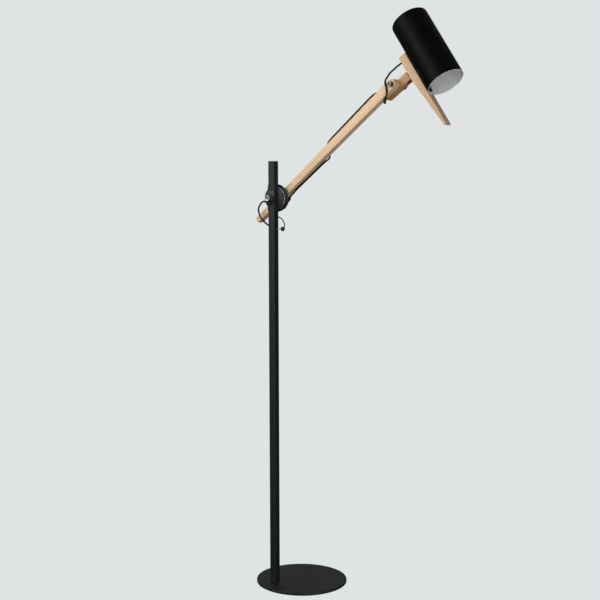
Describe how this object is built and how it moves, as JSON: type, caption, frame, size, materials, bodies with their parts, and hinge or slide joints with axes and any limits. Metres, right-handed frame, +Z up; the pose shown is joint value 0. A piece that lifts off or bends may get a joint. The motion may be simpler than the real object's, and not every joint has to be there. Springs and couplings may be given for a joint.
{
  "type": "adjustable arm floor lamp",
  "caption": "Floor lamp with a black square post on a round base, a sliding clamp, a tilting wooden arm and a black drum shade on a wooden lever that tilts and swivels.",
  "frame": {"origin": "centre of the base pad's underside, on the floor", "axes": "+Z up along the post; +X the way the arm runs; +Y from the post toward the arm's side of the clamp"},
  "size_m": [0.6891, 0.28, 1.7296],
  "materials": {
    "black_paint": "satin black powder coat",
    "shade_paint": "satin black paint outside, pale grey inside",
    "clamp_black": "black coated steel",
    "knob_plastic": "black moulded plastic",
    "beech_wood": "oiled beech, warm tan",
    "chrome": "chrome plated",
    "polished_aluminium": "turned and polished",
    "zinc_steel": "zinc plated steel",
    "brass": "turned brass",
    "rubber": "black rubber",
    "holder_plastic": "black thermoset plastic",
    "bulb_glass": "white diffuser",
    "flex_sheath": "round black flex",
    "tether_cord": "thin black cord"
  },
  "bodies": {
    "stand": {"base_disc": "black_paint", "base_pad": "rubber", "post": "black_paint", "post_cap": "knob_plastic", "foot_insert": "zinc_steel", "foot_bolt": "zinc_steel", "outlet_gland": "rubber", "cable_grommet": "rubber", "tether_eyelet": "zinc_steel", "tether": "tether_cord", "flex_riser": "flex_sheath"},
    "stop_pin": {"stop_pin": "zinc_steel", "pin_ball": "knob_plastic"},
    "clamp": {"clamp_body": "clamp_black", "hub_ring": "polished_aluminium", "hub_flange": "clamp_black", "pivot_bolt": "zinc_steel", "pivot_spacer": "polished_aluminium", "flex_post": "flex_sheath"},
    "clamp_knob": {"clamp_knob": "chrome"},
    "arm": {"arm": "beech_wood", "pivot_washer": "zinc_steel", "elbow_bolt": "zinc_steel", "elbow_washer": "zinc_steel", "elbow_shim": "rubber", "flex_arm": "flex_sheath", "flex_hub": "flex_sheath"},
    "pivot_knob": {"pivot_knob": "knob_plastic"},
    "elbow_knob": {"elbow_knob": "knob_plastic"},
    "link": {"link": "beech_wood", "barrel_nut": "zinc_steel", "swivel_bolt": "zinc_steel", "link_washer": "zinc_steel", "flex_elbow": "flex_sheath"},
    "head": {"lever": "beech_wood", "lever_bush": "brass", "shade": "shade_paint", "shade_top": "shade_paint", "shade_pad": "rubber", "shade_screw_lower": "zinc_steel", "shade_screw_upper": "zinc_steel", "holder_bracket": "zinc_steel", "nipple": "brass", "nipple_nut": "brass", "lamp_holder": "holder_plastic", "holder_ring": "holder_plastic", "bulb_cap": "zinc_steel", "led_bulb": "bulb_glass", "flex_inner": "flex_sheath", "flex_head": "flex_sheath"}
  },
  "joints": [
    {"name": "clamp_height", "type": "slide", "parent": "stand", "child": "clamp", "axis": [0, 0, 1], "range_m": [-0.012, 0.065], "deforming": ["flex_post"]},
    {"name": "clamp_knob_turn", "type": "hinge", "parent": "clamp", "child": "clamp_knob", "pos_m": [-0.0513, -0.0704, 1.1958], "axis": [0, 1, 0], "range_deg": [-90, 360]},
    {"name": "stop_pin_pull", "type": "slide", "parent": "stand", "child": "stop_pin", "axis": [1, 0, 0], "range_m": [0, 0.012], "deforming": ["tether"]},
    {"name": "arm_tilt", "type": "hinge", "parent": "clamp", "child": "arm", "pos_m": [-0.0513, -0.0704, 1.1958], "axis": [0, 1, 0], "range_deg": [-40, 58], "deforming": ["flex_hub"]},
    {"name": "pivot_knob_turn", "type": "hinge", "parent": "clamp", "child": "pivot_knob", "pos_m": [-0.0513, -0.0704, 1.1958], "axis": [0, 1, 0], "range_deg": [-90, 360]},
    {"name": "elbow_knob_turn", "type": "hinge", "parent": "arm", "child": "elbow_knob", "pos_m": [0.34425, -0.0704, 1.51979], "axis": [0, 1, 0], "range_deg": [-90, 360]},
    {"name": "head_tilt", "type": "hinge", "parent": "arm", "child": "link", "pos_m": [0.34425, -0.0704, 1.51979], "axis": [0, 1, 0], "range_deg": [-80, 80], "deforming": ["flex_elbow"]},
    {"name": "head_swivel", "type": "hinge", "parent": "link", "child": "head", "pos_m": [0.34753, -0.0014, 1.51537], "axis": [0.8023, 0, 0.5969], "range_deg": [-38, 51], "deforming": ["flex_head"]}
  ]
}
